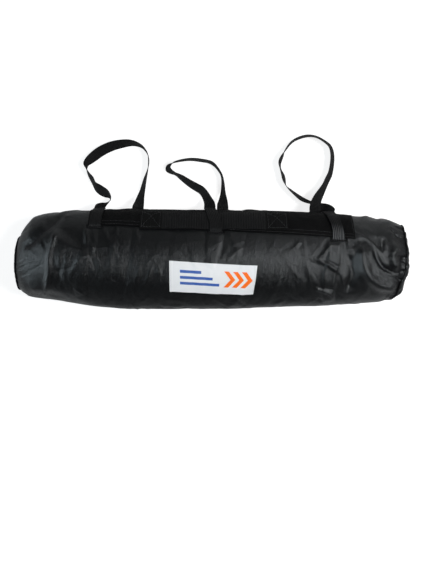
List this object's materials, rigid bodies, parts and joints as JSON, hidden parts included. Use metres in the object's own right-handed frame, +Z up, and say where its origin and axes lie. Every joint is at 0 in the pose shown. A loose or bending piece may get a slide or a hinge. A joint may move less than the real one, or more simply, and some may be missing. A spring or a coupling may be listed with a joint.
{
  "type": "vehicle awning",
  "caption": "Packed vehicle awning: a soft black bag with hanging strap loops, carry handle and zip, holding the rolled sheet, poles and pegs.",
  "frame": {"origin": "on the surface that the bag lies on, below the middle of its length", "axes": "+X along the bag to its right end, +Y towards the strap loops, +Z up, out of the labelled top"},
  "size_m": [0.852, 0.3849, 0.1403],
  "materials": {
    "bag_cloth": "black coated polyester, satin",
    "band_cloth": "black polyester, matt",
    "webbing": "black polypropylene webbing",
    "label": "white woven satin with plain bars",
    "zip_tape": "black woven tape",
    "zip_coil": "black nylon coil",
    "zip_metal": "black lacquered zinc",
    "sheet_cloth": "grey coated polyester",
    "eyelet_brass": "bright",
    "pole_steel": "zinc plated tube",
    "foot_plastic": "black",
    "spike_steel": "zinc plated",
    "pouch_cloth": "black polyester"
  },
  "bodies": {
    "bag": {"bag_body": "bag_cloth", "end_panel_left": "bag_cloth", "end_panel_right": "bag_cloth", "top_band": "band_cloth", "carry_handle": "webbing", "label_patch": "label", "zip_tape_upper": "zip_tape", "zip_tape_lower": "zip_tape", "zip_coil_upper": "zip_coil", "zip_coil_lower": "zip_coil", "zip_stop_left": "zip_metal", "zip_stop_right": "zip_metal", "awning_sheet": "sheet_cloth", "sheet_eyelets": "eyelet_brass", "pole_lower": "pole_steel", "pole_middle": "pole_steel", "pole_upper": "pole_steel", "pole_feet": "foot_plastic", "pole_spikes": "spike_steel", "peg_pouch": "pouch_cloth", "pegs": "spike_steel", "strap_left_wrap": "webbing", "slot_welt_left": "band_cloth", "back_welt_left": "band_cloth", "strap_middle_wrap": "webbing", "slot_welt_middle": "band_cloth", "back_welt_middle": "band_cloth", "strap_right_wrap": "webbing", "slot_welt_right": "band_cloth", "back_welt_right": "band_cloth"},
    "loop_left": {"strap_left_loop": "webbing"},
    "loop_middle": {"strap_middle_loop": "webbing"},
    "loop_right": {"strap_right_loop": "webbing"},
    "slider": {"zip_slider": "zip_metal"},
    "pull": {"zip_pull": "zip_metal"}
  },
  "joints": [
    {"name": "loop_left_swing", "type": "hinge", "parent": "bag", "child": "loop_left", "pos_m": [-0.245, 0.11252, 0.05552], "axis": [1, 0, 0], "range_deg": [0, 120]},
    {"name": "loop_middle_swing", "type": "hinge", "parent": "bag", "child": "loop_middle", "pos_m": [-0.007, 0.11361, 0.05552], "axis": [1, 0, 0], "range_deg": [0, 120]},
    {"name": "loop_right_swing", "type": "hinge", "parent": "bag", "child": "loop_right", "pos_m": [0.257, 0.10584, 0.0552], "axis": [1, 0, 0], "range_deg": [0, 120]},
    {"name": "zip_slide", "type": "slide", "parent": "bag", "child": "slider", "axis": [1, 0, 0], "range_m": [-0.6, 0]},
    {"name": "pull_swing", "type": "hinge", "parent": "slider", "child": "pull", "pos_m": [0.3, -0.08065, 0.0134], "axis": [0, -0.6691, 0.7431], "range_deg": [-85, 85]}
  ]
}
